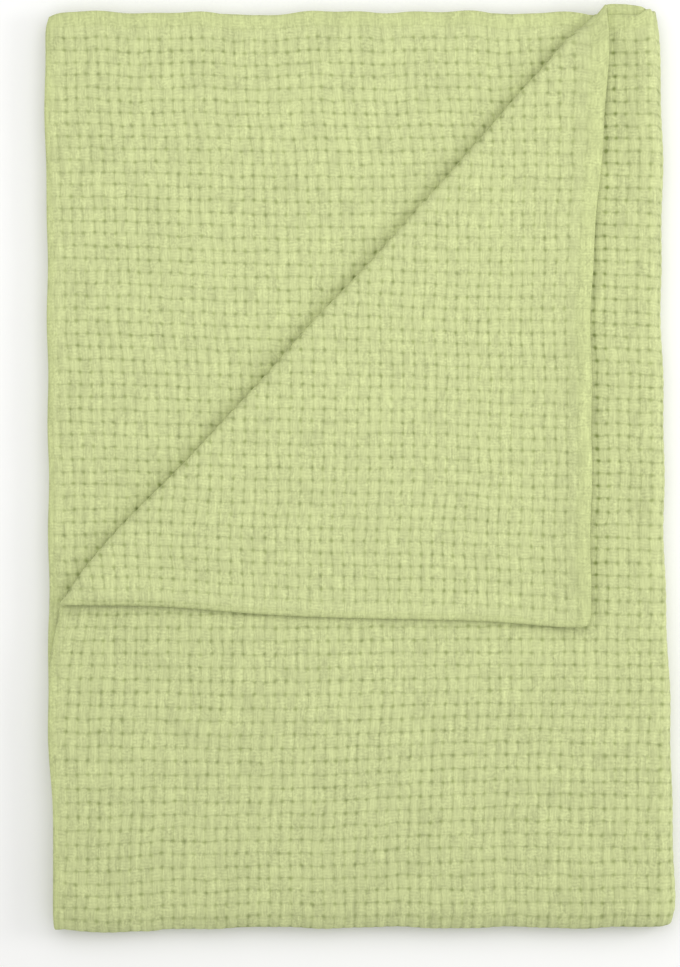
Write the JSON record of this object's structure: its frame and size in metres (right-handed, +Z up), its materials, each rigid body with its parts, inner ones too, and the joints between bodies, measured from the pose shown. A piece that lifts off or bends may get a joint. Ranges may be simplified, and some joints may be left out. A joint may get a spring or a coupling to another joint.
{
  "type": "folded throw blanket",
  "caption": "Woven cotton throw folded into a flat rectangular stack, with the free corner of its top layer turned back over a diagonal.",
  "frame": {"origin": "centre of the folded stack's box, on the surface that it lies on", "axes": "+X to the side with the single round fold, +Y along the longer side to the free hems, +Z up"},
  "size_m": [0.5148, 0.7596, 0.0319],
  "materials": {
    "cotton_weave": "matt pistachio green basket weave"
  },
  "bodies": {
    "root": {"throw": "cotton_weave"}
  },
  "joints": []
}
